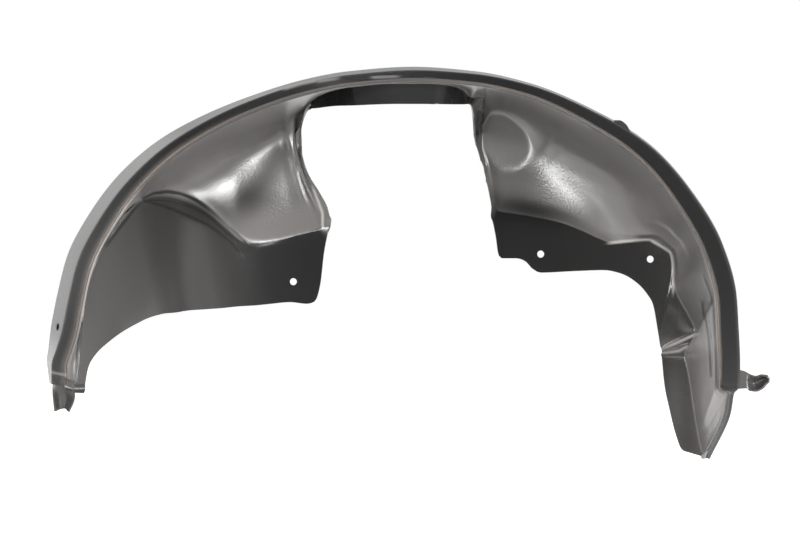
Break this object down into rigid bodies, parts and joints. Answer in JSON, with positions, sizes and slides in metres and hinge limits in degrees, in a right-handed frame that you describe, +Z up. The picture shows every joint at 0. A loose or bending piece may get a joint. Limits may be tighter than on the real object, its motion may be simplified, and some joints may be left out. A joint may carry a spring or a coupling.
{
  "type": "wheel arch liner",
  "caption": "One-piece moulded wheel arch liner with a flat front flange, a returned outer lip, a strut opening and screwed inner flanges.",
  "frame": {"origin": "top middle of the flat front flange's face, which lies against the wing's arch lip", "axes": "+X along the car, to the right in the picture, +Y inboard away from the wheel, +Z up"},
  "size_m": [0.7828, 0.2288, 0.4411],
  "materials": {
    "liner": "black thermoformed sheet, satin gloss with fine orange peel"
  },
  "bodies": {
    "root": {"liner": "liner"}
  },
  "joints": []
}
